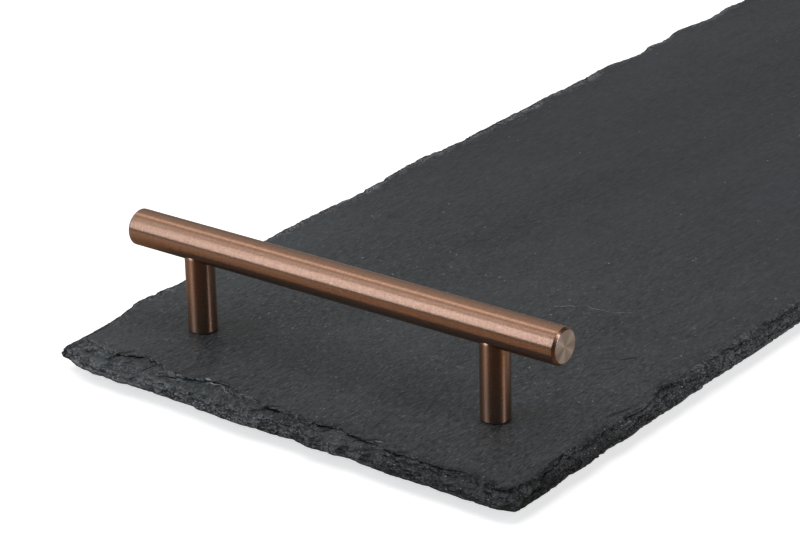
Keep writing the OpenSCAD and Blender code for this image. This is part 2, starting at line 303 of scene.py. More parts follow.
def readEdge(s):
    # the CAD slab's own edge lines at each height, shared out to the four sides: place along and inset
    node = nodes[s["node"]]
    points = np.zeros(len(node.data.vertices) * 3, np.float32)
    node.data.vertices.foreach_get("co", points)
    points = points.reshape(-1, 3).astype(float) / mm
    lines = []
    for height in s["edgeHeights"]:
        x, y = points[np.abs(points[:, 2] - height) < s["heightSlack"], :2].T
        inset = np.stack([s["halfY"] + y, s["halfX"] - x, s["halfY"] - y, s["halfX"] + x])
        rim = inset.min(0) < s["inner"]
        x, y, inset = x[rim], y[rim], inset[:, rim]
        # a point belongs to the side it lies closer to, as seen from the nearest corner of the line
        quarter = np.select([(x > 0) & (y < 0), (x > 0) & (y > 0), (x < 0) & (y > 0)], [0, 1, 2], 3)
        owner = np.zeros(len(x), int)
        corners = []
        for k in range(4):
            one, two = inset[k], inset[(k + 1) % 4]
            corner = np.argmin(np.where(quarter == k, one + two, np.inf))
            corners.append(corner)
            nearOne = one - one[corner] < two - two[corner]
            owner = np.where(quarter == k, np.where(nearOne, k, (k + 1) % 4), owner)
        sides = []
        for side, along in enumerate((x, y, -x, -y)):
            pick = owner == side
            pick[[corners[side], corners[side - 1]]] = True
            order = np.argsort(along[pick])
            sides.append((along[pick][order], inset[side][pick][order]))
        lines.append(sides)
    return lines


def edgeInsets(s, lines, side, share, place):
    # inset of the broken edge at each height and station: the CAD edge, stepped where the layers show,
    # hollowed by shell-shaped chips, slit under the lips, and roughened by noise that closes round the edge
    around = 4 * (s["halfX"] + s["halfY"])
    seeds = s["seeds"]
    heights = np.array(s["edgeHeights"])
    rows = np.linspace(heights[0], heights[-1], s["rows"])
    z = rows[:, None]
    column = np.arange(len(place))
    base = np.array([np.interp(line[side][0][0] + share * np.ptp(line[side][0]), *line[side])
                     for line in lines])
    # the two upper lines are evened along the edge by a moving mean, but not at the corners
    reach = round(s["arrisEase"] / 2 / (place[1] - place[0]))
    window = np.ones(2 * reach + 1) / (2 * reach + 1)
    mean = np.array([np.convolve(np.pad(line, reach, "edge"), window, "valid") for line in base[-2:]])
    away = np.clip(np.minimum(column, column[::-1]) / (2 * reach), 0, 1)
    base[-2:] += (mean - base[-2:]) * away

    # which layer each height is in, and how plainly the layers show
    layers = np.array(s["layers"])[:, None]
    level = np.arange(len(layers))[:, None]
    wander, size, apart = s["wander"]
    splits = layers + wander * smoothNoise(place / size, level * apart, seeds["wander"])
    layer = (z[:, None] > splits[None]).sum(1)
    bounds = np.concatenate([heights[:1], s["layers"], heights[-1:]])
    middle = (bounds[:-1] + bounds[1:]) / 2
    middle[-1] = heights[-1]
    fromCorner = np.abs((place - s["layersShowAt"] + around / 2) % around - around / 2)
    size, most = s["layerPatches"]
    show = np.clip(most * smoothNoise(place / size, 0, seeds["patches"]), 0, 1)
    show = np.maximum(show, s["layersShow"] * np.interp(fromCorner, s["layersFade"], (1, 0)))
    lookup = z + (middle[layer] - z) * show
    below = np.clip(np.searchsorted(heights, lookup) - 1, 0, len(heights) - 2)
    part = (lookup - heights[below]) / (heights[below + 1] - heights[below])
    inset = base[below, column] * (1 - part) + base[below + 1, column] * part
    for seed, (size, depth) in enumerate(s["jags"], seeds["jags"]):
        inset += show * depth * smoothNoise(place / size, layer * s["jagsApart"], seed, round(around / size))

    inset += s["sideSet"][side]
    for swellAt, swellHalf, out in s["swells"]:
        inset -= out * np.exp(-((place - swellAt) / swellHalf) ** 2 * 2)
    soft = s["softLimit"]
    inset = np.where(inset < soft, soft * np.exp(np.minimum(inset / soft - 1, 0)), inset)

    # chips: bowls, of which the deepest counts, so that their rims meet in ridges
    rng = np.random.default_rng(seeds["chips"])
    for number, halves, heightsOf, depths in s["chips"]:
        centre, half = rng.uniform(0, around, number), rng.uniform(*halves, number)
        chipZ, tall = rng.uniform(heights[0], heights[-1], number), rng.uniform(*heightsOf, number)
        deep = half * rng.uniform(*depths, number)
        gap = (place[:, None] - centre + around / 2) % around - around / 2
        across = 1 - (gap / half) ** 2
        inset += np.array([(deep * np.maximum(across - ((v - chipZ) / tall) ** 2, 0)).max(1) for v in rows])

    # cracks and the slits under the lips, each with its own small slope
    lips = np.array(s["lips"], float)
    extra = s["cracks"]
    centre = np.concatenate([lips[:, 0], rng.uniform(0, around, extra)])
    half = np.concatenate([lips[:, 1], rng.uniform(*s["crackHalf"], extra)])
    deep = np.concatenate([lips[:, 2], rng.uniform(*s["crackDepth"], extra)])
    tall = np.concatenate([np.full(len(lips), s["crackTall"][1]), rng.uniform(*s["crackTall"], extra)])
    crackZ = np.concatenate([np.full(len(lips), s["lipsAt"]), rng.triangular(*s["cracksAt"], extra)])
    slope = rng.uniform(-s["crackSlope"], s["crackSlope"], len(centre))
    gap = (place[:, None] - centre + around / 2) % around - around / 2
    reach = deep * np.sqrt(np.maximum(1 - (gap / half) ** 2, 0))
    slit = np.array([(reach * np.exp(-((v - crackZ - slope * gap) / tall) ** 2)).max(1) for v in rows])
    rough = sum(depth * smoothNoise(place / sizeAlong, z / sizeUp, seed, round(around / sizeAlong))
                for seed, (sizeAlong, sizeUp, depth) in enumerate(s["roughness"], seeds["rough"]))
    inset += np.maximum(rough + s["roughLift"], s["roughLeast"] * (rough + 1))
    pull = s["arrisPull"]
    inset[-1] = np.maximum(inset[-1], pull * inset[-2] + (1 - pull) * inset[-1])
    return np.clip(inset + slit, 0, s["inner"] - s["innerGap"])


relief = {
    # where the faces stay level: x and y of the middle, and radius, in mm
    "post": (*postMiddle, 4.5), "washer": (*postMiddle, 5.2), "foot": (58.0, 282.0, 6.2),
    "topEase": 5.0, "underEase": 4.0,                             # mm in which the relief comes back
    # waves: size across, size along and height in mm, and whether they follow the bends
    "streaks": ((3.4, 24, 0.045, True), (9, 58, 0.07, True), (34, 120, 0.09, False)), "bend": (60, 70, 3.0),
    "scarp": (24, 80, 0.09), "scarpSharp": 4.0, "topSink": 0.16,
    "underWaves": ((8, 46, 0.09), (30, 90, 0.07)), "underRise": 0.16,
    "seeds": {"bend": 21, "streaks": 22, "scarp": 25, "under": 31},
}


def easeOut(x, y, spots, reach):
    # 0 on the level spots, 1 away from them, joined by a smooth step
    away = np.min([np.hypot(np.abs(x) - spot[0], np.abs(y) - spot[1]) - spot[2] for spot in spots], 0)
    ease = np.clip(away / reach, 0, 1)
    return ease ** 2 * (3 - 2 * ease)


def topRelief(x, y, r=relief):
    # riven face: long low streaks and shallow scarps along Y, never above the top plane, level at the posts
    seeds = r["seeds"]
    acrossBend, alongBend, bendBy = r["bend"]
    bent = x + bendBy * smoothNoise(y / alongBend, x / acrossBend, seeds["bend"])
    height = sum(high * smoothNoise((bent if bends else x) / across, y / along, seed)
                 for seed, (across, along, high, bends) in enumerate(r["streaks"], seeds["streaks"]))
    across, along, high = r["scarp"]
    height += high * np.tanh(r["scarpSharp"] * smoothNoise(bent / across, y / along, seeds["scarp"]))
    return np.minimum(height - r["topSink"], 0) * easeOut(x, y, [r["post"]], r["topEase"])


def underRelief(x, y, r=relief):
    # the underside: long low waves, never below the lower plane, level at the washers and the feet
    waves = sum(high * smoothNoise(x / across, y / along, seed)
                for seed, (across, along, high) in enumerate(r["underWaves"], r["seeds"]["under"]))
    return np.maximum(r["underRise"] + waves, 0) * easeOut(x, y, [r["washer"], r["foot"]], r["underEase"])


def makeSlate(s):
    # rings of stations go from the underside round the broken edge to the top face, where a square grid
    # closes each face; the corners of a ring are mitred, as in the CAD slab
    lines = readEdge(s)
    halfAlong = (s["halfX"], s["halfY"]) * 2
    halfOut = (s["halfY"], s["halfX"]) * 2
    counts = (s["cellsX"] * s["stationsPerCell"], s["cellsY"] * s["stationsPerCell"]) * 2
    insets = []
    start = 0
    for side in range(4):
        share = np.linspace(0, 1, counts[side] + 1)
        edge = edgeInsets(s, lines, side, share, start + share * 2 * halfAlong[side])
        rim = [edge[-1] + (s["inner"] - edge[-1]) * step for step in s["rimSteps"]]
        insets.append(np.concatenate([np.full((1, len(share)), s["underInner"]), edge, rim]))
        start += 2 * halfAlong[side]

    firstTop = s["rows"] + 1
    rowCount = firstTop + len(s["rimSteps"])
    places = []
    for side in range(4):
        share = np.linspace(0, 1, counts[side] + 1)[:-1]
        before, after = insets[side - 1][:, -1:], insets[(side + 1) % 4][:, :1]
        along = before - halfAlong[side] + share * (2 * halfAlong[side] - before - after)
        out = insets[side][:, :-1] - halfOut[side]
        cosine, sine = ((1, 0), (0, 1), (-1, 0), (0, -1))[side]
        places.append(np.stack([along * cosine - out * sine, along * sine + out * cosine]))
    x, y = np.concatenate(places, 2)
    n = x.shape[1]
    z = np.broadcast_to(np.linspace(s["under"], s["top"], s["rows"])[:, None], (s["rows"], n)).copy()
    rng = np.random.default_rng(s["seeds"]["jitter"])
    z[1:-1] += s["jitter"] * rng.uniform(-1, 1, (s["rows"] - 2, n))
    z[-1] += topRelief(x[firstTop - 1], y[firstTop - 1]) - s["rimDrop"]
    fromRim = (np.array(s["rimSteps"]) * s["inner"])[:, None]
    rimZ = s["top"] + topRelief(x[firstTop:], y[firstTop:]) - s["rimDrop"] * np.exp(-fromRim / s["rimFade"])
    z = np.concatenate([s["under"] + underRelief(x[:1], y[:1]), z, rimZ])
    z = np.clip(z, s["under"], s["top"])
    ringPoints = np.stack([x, y, z], -1).reshape(-1, 3)

    gridX, gridY = (g.ravel() for g in np.meshgrid(
        np.linspace(-1, 1, s["cellsX"] + 1) * (s["halfX"] - s["inner"]),
        np.linspace(-1, 1, s["cellsY"] + 1) * (s["halfY"] - s["inner"]), indexing="ij"))
    topPoints = np.stack([gridX, gridY, s["top"] + topRelief(gridX, gridY)], -1)
    underPoints = np.stack([gridX, gridY, s["under"] + underRelief(gridX, gridY)], -1)

    # squares of the rings, squares of the grids, and fans of five triangles from each grid cell to the ring
    r, k = np.meshgrid(np.arange(rowCount - 1), np.arange(n), indexing="ij")
    a, b = r * n + k, r * n + (k + 1) % n
    ringQuads = np.stack([a, b, b + n, a + n], -1).reshape(-1, 4)
    cellsX, cellsY = s["cellsX"], s["cellsY"]
    i, j = np.meshgrid(np.arange(cellsX), np.arange(cellsY), indexing="ij")
    a = (i * (cellsY + 1) + j).ravel()
    gridQuads = np.stack([a, a + cellsY + 1, a + cellsY + 2, a + 1], -1)
    stepX, stepY = np.arange(cellsX), np.arange(cellsY)
    loop = np.concatenate([stepX * (cellsY + 1), cellsX * (cellsY + 1) + stepY,
                           (cellsX - stepX) * (cellsY + 1) + cellsY, cellsY - stepY])
    topStart, underStart = rowCount * n, rowCount * n + len(topPoints)

    def fan(gridStart, ringStart):
        # from each cell's side of the grid to the five stations of the ring that face it
        c, d = gridStart + loop, gridStart + np.roll(loop, -1)
        stations = np.arange(len(loop)) * s["stationsPerCell"]
        e = [ringStart + (stations + step) % n for step in range(s["stationsPerCell"] + 1)]
        corners = ((e[0], e[1], c), (e[1], e[2], c), (e[2], d, c), (e[2], e[3], d), (e[3], e[4], d))
        return np.concatenate([np.stack(t, -1) for t in corners])

    topFan = fan(topStart, (rowCount - 1) * n)
    underFan = fan(underStart, 0)[:, ::-1]
    topQuads, underQuads = gridQuads + topStart, gridQuads[:, ::-1] + underStart
    faces = [face for part in (ringQuads, topQuads, underQuads, topFan, underFan) for face in part.tolist()]
    onFace = (r.ravel() >= firstTop) | (r.ravel() == 0)
    smooth = np.concatenate([onFace, np.ones(len(faces) - len(ringQuads), bool)])
    piece = newPiece("rivenSlate", np.concatenate([ringPoints, topPoints, underPoints]) * mm, faces, smooth)

    # how broken the surface is: 1 on the edge's walls, little on its treads, 0 on the faces
    inset = np.concatenate([part[:, :-1] for part in insets], 1)
    tread = inset * 0
    slope = np.gradient(inset[1:firstTop], axis=0) * (s["rows"] - 1) / (s["top"] - s["under"])
    tread[1:firstTop] = np.clip(slope / s["treadSlope"], 0, 1)
    for span in s["treadSpread"]:
        tread = (tread + np.roll(tread, span, 1) + np.roll(tread, -span, 1)) / 3
        tread[2:firstTop - 1] = (tread[1:firstTop - 2] + tread[2:firstTop - 1] + tread[3:firstTop]) / 3
    broken = 1 - s["treadSmooth"] * tread
    broken[0] = 0
    broken[firstTop - 1] = s["arrisBroken"]
    patches = smoothNoise(np.arange(n) / s["stationsPerCell"] / s["rimWorn"], 0, s["seeds"]["rim"])
    broken[firstTop:] = s["rimBroken"] * np.exp(-fromRim / s["rimWorn"]) * (1 + s["rimPatches"] * patches)
    # how far each point of the edge stands out from its neighbours: 1 on ridges, 0 in hollows; the edge's
    # colour uses it for painted shade in the hollows and paler ridges
    mean = inset.copy()
    for span in s["ridgeShadingSpread"]:
        mean = (mean + np.roll(mean, span, 1) + np.roll(mean, -span, 1)) / 3
        mean[span:-span] = (mean[span:-span] + mean[2 * span:] + mean[:-2 * span]) / 3
    even = 0.5
    ridgeShading = np.clip(even + (mean - inset) / s["ridgeShadingDepth"], 0, 1)
    ridgeShading[0] = even
    ridgeShading[firstTop:] = even
    gridCount = len(topPoints) + len(underPoints)
    for name, values in (("broken", broken), ("ridgeShading", ridgeShading)):
        values = np.concatenate([values.ravel(), np.full(gridCount, values[-1, -1])])
        layer = piece.data.attributes.new(name, "FLOAT", "POINT")
        layer.data.foreach_set("value", values.astype(np.float32))
    return piece


slateLook = {
    # noises: size across the grain, along it and upwards in mm, detail, roughness; the real grain is below
    # 0.1 mm, and is drawn this coarse so that it shows
    "patterns": {
        "fine": (0.52, 1.8, 0.6, 2.0, 0.8), "grain": (0.88, 3.8, 1.0, 3.0, 0.65),
        "streak": (2.4, 14, 4, 3.0, 0.6), "ripple": (3.2, 6.5, 3, 1.0, 0.4),
        "cloud": (26, 70, 20, 2.0, 0.5), "patch": (3.2, 3.2, 1.6, 2.0, 0.5),
        "zone": (15, 15, 12, 0.0, 0.5), "grit": (0.6, 0.6, 0.4, 2.0, 0.8),
    },
    "grainTurn": -1,                                              # degrees, the grain against the long sides
    # mm across, along and upwards of the cells that spots come from, and of the flakes of the edge
    "cells": {"flecks": (1.3, 1.7, 1.3), "dust": (0.55, 1.5, 0.6), "crystals": (0.62, 0.62, 0.42)},
    "flakes": (3.4, 5.5, 1.4),
    # spots: their cells, which random number of a cell counts and above what the cell shows one, and the
    # distances from the cell's middle over which the spot fades, with its cover at both
    "spots": {
        "speck": ("flecks", "Red", 0.98, (0.1, 0.22, 1, 0)),
        "pitShade": ("flecks", "Green", 0.93, (0.1, 0.22, 1, 0)),
        "dust": ("dust", "Red", 0.9, (0.2, 0.5, 0.3, 0)),
        "glint": ("crystals", "Green", 0.98, (0.15, 0.35, 1, 0)),
    },
    # tones of the faces and the edge: weights of the noises, and how far the finest ones swing
    "faceWeights": {"grain": 0.7, "streak": 0.55, "cloud": 0.7}, "fineSwing": 2.8,
    # the edge's weight for ridges and hollows paints shade into its hollows and lightens its ridges
    "edgeWeights": {"patch": 0.3, "ridgeShading": 0.4, "flake": 0.3}, "gritSwing": 3.4, "crystalSwing": 0.7,
    "edgeLevel": 0.29, "edgeLeast": 0.02, "raggedGrain": 0.9,
    # heights: weights of the noises, and of cracks, crystals and seams; the two depths are in mm
    "reliefWeights": {"grain": 1.0, "streak": 1.0, "fine": 0.35, "ripple": 1.1}, "reliefDepth": 0.2,
    "crackHeight": -2.0, "crystalHeight": 0.35, "seamHeight": -0.5, "edgeDepth": 0.7,
    # ranges: from, to, and what these two become; in the first four, from and to are places in m
    "ranges": {
        "plain": (0.1, 0.25, 0.22, 1), "corner": (-0.075, -0.025, 0.25, 0),
        "paleAcross": (-0.07, 0.065, 1.05, 0.3), "paleAlong": (-0.285, -0.2, 0, 0.36),
        "calm": (0, 0.36, 1, 0.42),
        "seam": (0.015, 0.07, 1, 0), "opened": (0.42, 0.56, 0, 1), "zone": (0.4, 0.56, 0.45, 1),
        "onEdge": (0.7, 1.05, 0, 1), "line": (0.55, 1, 1, 0), "lineMottle": (0.35, 0.6, 0.3, 1),
        "scarp": (0.5, 0.53, 0, 0.22), "strength": (0, 1, 0.6, 1), "sheen": (0.3, 0.7, 0.52, 0.4),
    },
    # open cracks and pale lines, listed one by one: x and y of both ends, and half width, in mm
    "cracks": ((-59.5, -295.5, -53.5, -286.5, 0.61), (-48.2, -295.2, -44, -289.4, 0.54),
               (-44, -294.9, -33, -292.3, 0.41), (-12, -299.5, 0.5, -291.0, 0.61),
               (14.4, -296.3, 19, -291.4, 0.54), (24, -299.4, 33.2, -295.3, 0.47),
               (23.6, -296.4, 34.4, -292, 0.47), (37.4, -297.8, 41.6, -294, 0.47),
               (54, -220.8, 58.1, -216, 0.41), (74.4, -289, 72.7, -270.7, 0.54),
               (70.2, -251, 72.9, -240, 0.47)),
    "paleLines": ((-28, -290, -21, -290.4, 0.2), (-22.5, -289.9, -16.2, -293.4, 0.18),
              (-38, -294, -31.5, -292, 0.12), (27, -294.6, 33.6, -293.2, 0.2),
              (20.5, -202.4, 27, -197.2, 0.08), (27, -197, 36, -196.4, 0.1),
              (36, -196.3, 41, -192.5, 0.07)),
    "warp": 2.7, "warpSize": 3.2, "lineReach": 3.0,               # mm: bends, their size, depth of lines
    "warpDetail": 2.0, "crackShadeCover": 0.93, "brokenRoughness": 0.1, "ior": 1.5,
    # the pit and crack tones are painted shade, in pits, open cracks and seams; the glint tone is painted
    # glints
    "endTones": ("#1a1e20", "#464b4e"), "middleTones": ("#191e22", "#373d44"),
    "edgeTones": ("#0e0f11", "#8a8e91"),
    "speckTone": "#8f9496", "pitShadeTone": "#191b1c", "crackShadeTone": "#0f1010", "paleLineTone": "#a3a7a8",
    "glintTone": "#b4b8b9",
}


def slateMaterial(look):
    # roofing slate, split along its cleavage and trimmed with a hammer: matt blue-grey faces with a fine
    # grain and streaks one way, mica flecks and pits, and coarser edges of dark and glinting crystals
    material, tree = newMaterial("rivenSlate")
    ranges = look["ranges"]
    place = addNode(tree, "TexCoord").outputs["Object"]
    parts = addNode(tree, "SeparateXYZ", (place,)).outputs
    noises = {}
    for name in ("broken", "ridgeShading"):
        noises[name] = addNode(tree, "Attribute", attribute_name=name).outputs["Fac"]
    turn = (0, 0, math.radians(look["grainTurn"]))
    for name, (across, along, up, detail, roughness) in look["patterns"].items():
        sizes = (across * mm, along * mm, up * mm)
        turned = addNode(tree, "Mapping", {"Vector": place, "Rotation": turn, "Scale": sizes},
                         vector_type="TEXTURE")
        noises[name] = addNode(tree, "TexNoise", {"Vector": turned, "Scale": 1.0, "Detail": detail,
                                                  "Roughness": roughness})
    cells, chances = {}, {}
    for name, sizes in look["cells"].items():
        cell = addNode(tree, "Mapping", {"Vector": place, "Scale": [size * mm for size in sizes]},
                       vector_type="TEXTURE")
        cells[name] = addNode(tree, "TexVoronoi", {"Vector": cell, "Scale": 1.0})
        chances[name] = addNode(tree, "SeparateColor", (cells[name].outputs["Color"],)).outputs

    # coordinates bent by noise, so that cracks and flakes have no straight lines
    bend = addNode(tree, "TexNoise", {"Vector": place, "Scale": 1 / (look["warpSize"] * mm),
                                      "Detail": look["warpDetail"]})
    bend = addNode(tree, "VectorMath", (bend.outputs["Color"], (0.5, 0.5, 0.5)), operation="SUBTRACT")
    bent = addNode(tree, "VectorMath", (bend, (look["warp"] * mm,) * 3, place), operation="MULTIPLY_ADD")

    # the grain shows more plainly, in other tones, at both ends than in the middle, and is paler at the left
    # corner
    fromMiddle = addNode(tree, "Math", (parts["Y"],), operation="ABSOLUTE")
    plain = addNode(tree, "MapRange", (fromMiddle, *ranges["plain"]))
    swing = addNode(tree, "Math", (plain, look["fineSwing"]), operation="MULTIPLY")
    mottle = addNode(tree, "Math", (noises["fine"], 0.5), operation="SUBTRACT")
    level = 0.5 - 0.5 * sum(look["faceWeights"].values())
    mottle = addNode(tree, "Math", (mottle, swing, level), operation="MULTIPLY_ADD")
    corner = addNode(tree, "MapRange", (parts["X"], *ranges["corner"]))
    mottle = addNode(tree, "Math", (corner, plain, mottle), operation="MULTIPLY_ADD")
    for name, weight in look["faceWeights"].items():
        mottle = addNode(tree, "Math", (noises[name], weight, mottle), operation="MULTIPLY_ADD")
    middle, ends = (addNode(tree, "Mix", (mottle, linear(dark), linear(light)), data_type="RGBA")
                    for dark, light in (look["middleTones"], look["endTones"]))
    face = addNode(tree, "Mix", (plain, middle, ends), data_type="RGBA")

    # mica specks, pits darkened with painted shade, dust and crystals with painted glints: a few cells show
    # one round their own middles
    spots = {}
    for name, (kind, channel, least, fade) in look["spots"].items():
        near = addNode(tree, "MapRange", (cells[kind], *fade))
        chosen = addNode(tree, "Math", (chances[kind][channel], least), operation="GREATER_THAN")
        spots[name] = addNode(tree, "Math", (near, chosen), operation="MULTIPLY")
    spots["dust"] = addNode(tree, "Math", (spots["dust"], plain), operation="MULTIPLY")
    for name, tone in (("speck", "speckTone"), ("pitShade", "pitShadeTone"), ("dust", "speckTone")):
        face = addNode(tree, "Mix", (spots[name], face, linear(look[tone])), data_type="RGBA")

    # the broken edge: flakes with a tone of their own and seams darkened with painted shade, dark and light
    # crystals that gather in zones, painted shade in the hollows and paler ridges, paler towards the left
    # and along the right side
    flake = addNode(tree, "Mapping", {"Vector": bent, "Scale": [size * mm for size in look["flakes"]]},
                    vector_type="TEXTURE")
    body = addNode(tree, "TexVoronoi", {"Vector": flake, "Scale": 1.0})
    noises["flake"] = addNode(tree, "SeparateColor", (body.outputs["Color"],)).outputs["Red"]
    seam = addNode(tree, "TexVoronoi", {"Vector": flake, "Scale": 1.0}, feature="DISTANCE_TO_EDGE")
    seam = addNode(tree, "MapRange", (seam, *ranges["seam"]))
    opened = addNode(tree, "MapRange", (noises["patch"], *ranges["opened"]))
    seam = addNode(tree, "Math", (seam, opened), operation="MULTIPLY")
    seam = addNode(tree, "Math", (seam, noises["broken"]), operation="MULTIPLY")
    zone = addNode(tree, "MapRange", (noises["zone"], *ranges["zone"]))
    crystal = chances["crystals"]["Red"]
    swings = look["gritSwing"], look["crystalSwing"]
    tone = addNode(tree, "Math", (noises["grit"], swings[0], -0.5 * sum(swings)), operation="MULTIPLY_ADD")
    tone = addNode(tree, "Math", (crystal, swings[1], tone), operation="MULTIPLY_ADD")
    level = look["edgeLevel"] - 0.5 * sum(look["edgeWeights"].values())
    tone = addNode(tree, "Math", (tone, zone, level), operation="MULTIPLY_ADD")
    for name, weight in look["edgeWeights"].items():
        tone = addNode(tree, "Math", (noises[name], weight, tone), operation="MULTIPLY_ADD")
    tone = addNode(tree, "Math", (tone, look["edgeLeast"]), operation="MAXIMUM")
    acrossBoard = addNode(tree, "MapRange", (parts["X"], *ranges["paleAcross"]))
    alongSide = addNode(tree, "MapRange", (parts["Y"], *ranges["paleAlong"]))
    paler = addNode(tree, "Math", (acrossBoard, alongSide), operation="ADD")
    tone = addNode(tree, "Math", (tone, paler), operation="MULTIPLY")
    tone = addNode(tree, "Math", (tone, 1.0), operation="MINIMUM")
    dark, light = look["edgeTones"]
    edge = addNode(tree, "Mix", (tone, linear(dark), linear(light)), data_type="RGBA")
    # painted glints: a few crystal cells are coloured pale, in place of the light they would flash
    edge = addNode(tree, "Mix", (spots["glint"], edge, linear(look["glintTone"])), data_type="RGBA")
    # painted shade: the seams between flakes take the near-black crack tone
    edge = addNode(tree, "Mix", (seam, edge, linear(look["crackShadeTone"])), data_type="RGBA")
    # the two meet along a ragged line
    ragged = addNode(tree, "Math", (noises["grain"], look["raggedGrain"], noises["broken"]),
                     operation="MULTIPLY_ADD")
    onEdge = addNode(tree, "MapRange", (ragged, *ranges["onEdge"]))
    colour = addNode(tree, "Mix", (onEdge, face, edge), data_type="RGBA")

    # open cracks, sunk in the bump and filled with painted shade, and pale lines in the top face near the
    # handle: long thin ellipsoids
    drawn = {"cracks": 0.0, "paleLines": 0.0}
    for name in drawn:
        for x0, y0, x1, y1, half in look[name]:
            length = math.hypot(x1 - x0, y1 - y0)
            line = addNode(tree, "Mapping",
                           {"Vector": bent, "Rotation": (0, 0, math.atan2(y1 - y0, x1 - x0)),
                            "Location": ((x0 + x1) / 2 * mm, (y0 + y1) / 2 * mm, slateBox[1][2]),
                            "Scale": (length / 2 * mm, half * mm, look["lineReach"] * mm)},
                           vector_type="TEXTURE")
            fromLine = addNode(tree, "VectorMath", (line,), operation="LENGTH")
            shown = addNode(tree, "MapRange", (fromLine, *ranges["line"]))
            drawn[name] = addNode(tree, "Math", (shown, drawn[name]), operation="MAXIMUM")
    lineMottle = addNode(tree, "MapRange", (noises["fine"], *ranges["lineMottle"]))
    lineMottle = addNode(tree, "Math", (drawn["paleLines"], lineMottle), operation="MULTIPLY")
    colour = addNode(tree, "Mix", (lineMottle, colour, linear(look["paleLineTone"])), data_type="RGBA")
    # painted shade: the open cracks are filled almost black, over the groove that the bump sinks
    gap = addNode(tree, "Math", (drawn["cracks"], look["crackShadeCover"]), operation="MULTIPLY")
    colour = addNode(tree, "Mix", (gap, colour, linear(look["crackShadeTone"])), data_type="RGBA")

    # relief: grain, streaks, ripples and low scarps on the faces, crystals on the edge
    scarp = addNode(tree, "MapRange", (noises["ripple"], *ranges["scarp"]))
    height = addNode(tree, "Math", (drawn["cracks"], look["crackHeight"], scarp), operation="MULTIPLY_ADD")
    for name, weight in look["reliefWeights"].items():
        height = addNode(tree, "Math", (noises[name], weight, height), operation="MULTIPLY_ADD")
    strength = addNode(tree, "MapRange", (plain, *ranges["strength"]))
    bump = addNode(tree, "Bump", {"Height": height, "Distance": look["reliefDepth"] * mm,
                                  "Strength": strength})
    deep = addNode(tree, "Math", (crystal, look["crystalHeight"], noises["grit"]), operation="MULTIPLY_ADD")
    share = addNode(tree, "Math", (noises["broken"], zone), operation="MULTIPLY")
    calm = addNode(tree, "MapRange", (alongSide, *ranges["calm"]))
    share = addNode(tree, "Math", (share, calm), operation="MULTIPLY")
    deep = addNode(tree, "Math", (deep, share), operation="MULTIPLY")
    deep = addNode(tree, "Math", (seam, look["seamHeight"], deep), operation="MULTIPLY_ADD")
    bump = addNode(tree, "Bump", {"Height": deep, "Distance": look["edgeDepth"] * mm, "Strength": 1.0,
                                  "Normal": bump})
    sheen = addNode(tree, "MapRange", (noises["grain"], *ranges["sheen"]))
    rough = addNode(tree, "Math", (noises["broken"], look["brokenRoughness"], sheen),
                    operation="MULTIPLY_ADD")
    shader = addNode(tree, "BsdfPrincipled", {"Base Color": colour, "Roughness": rough, "Normal": bump,
                                              "IOR": look["ior"]})
    addNode(tree, "OutputMaterial", {"Surface": shader})
    return material


slab = makeSlate(slate)
slab.data.materials.append(slateMaterial(slateLook))
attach(slab, "root")
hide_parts("slate_slab")
print("slate ready,", len(slab.data.polygons), "faces")


# Handles
# mm; edgeBreak softens each corner, and the steps share out the rings of points
bar = {
    "length": 138.0, "radius": 5.0, "chamfer": 0.7, "y": postMiddle[1], "z": 34.0, "turns": 144,
    "edgeBreak": 0.12, "innerStep": 0.3, "endSteps": 9, "sideFrom": 3.0, "sideSteps": 45,
}
post = {
    "radius": 4.0, "chamfer": 0.4, "low": 9.0, "high": 31.5, "x": postMiddle[0], "turns": 120,
    "edgeBreak": 0.08, "innerStep": 0.2, "endSteps": 5, "sideFrom": 1.0, "sideSteps": 16,
    "topStep": 0.5, "topSteps": 4,
}
uvUnit = 10                                                       # mm along a profile for 1 of u


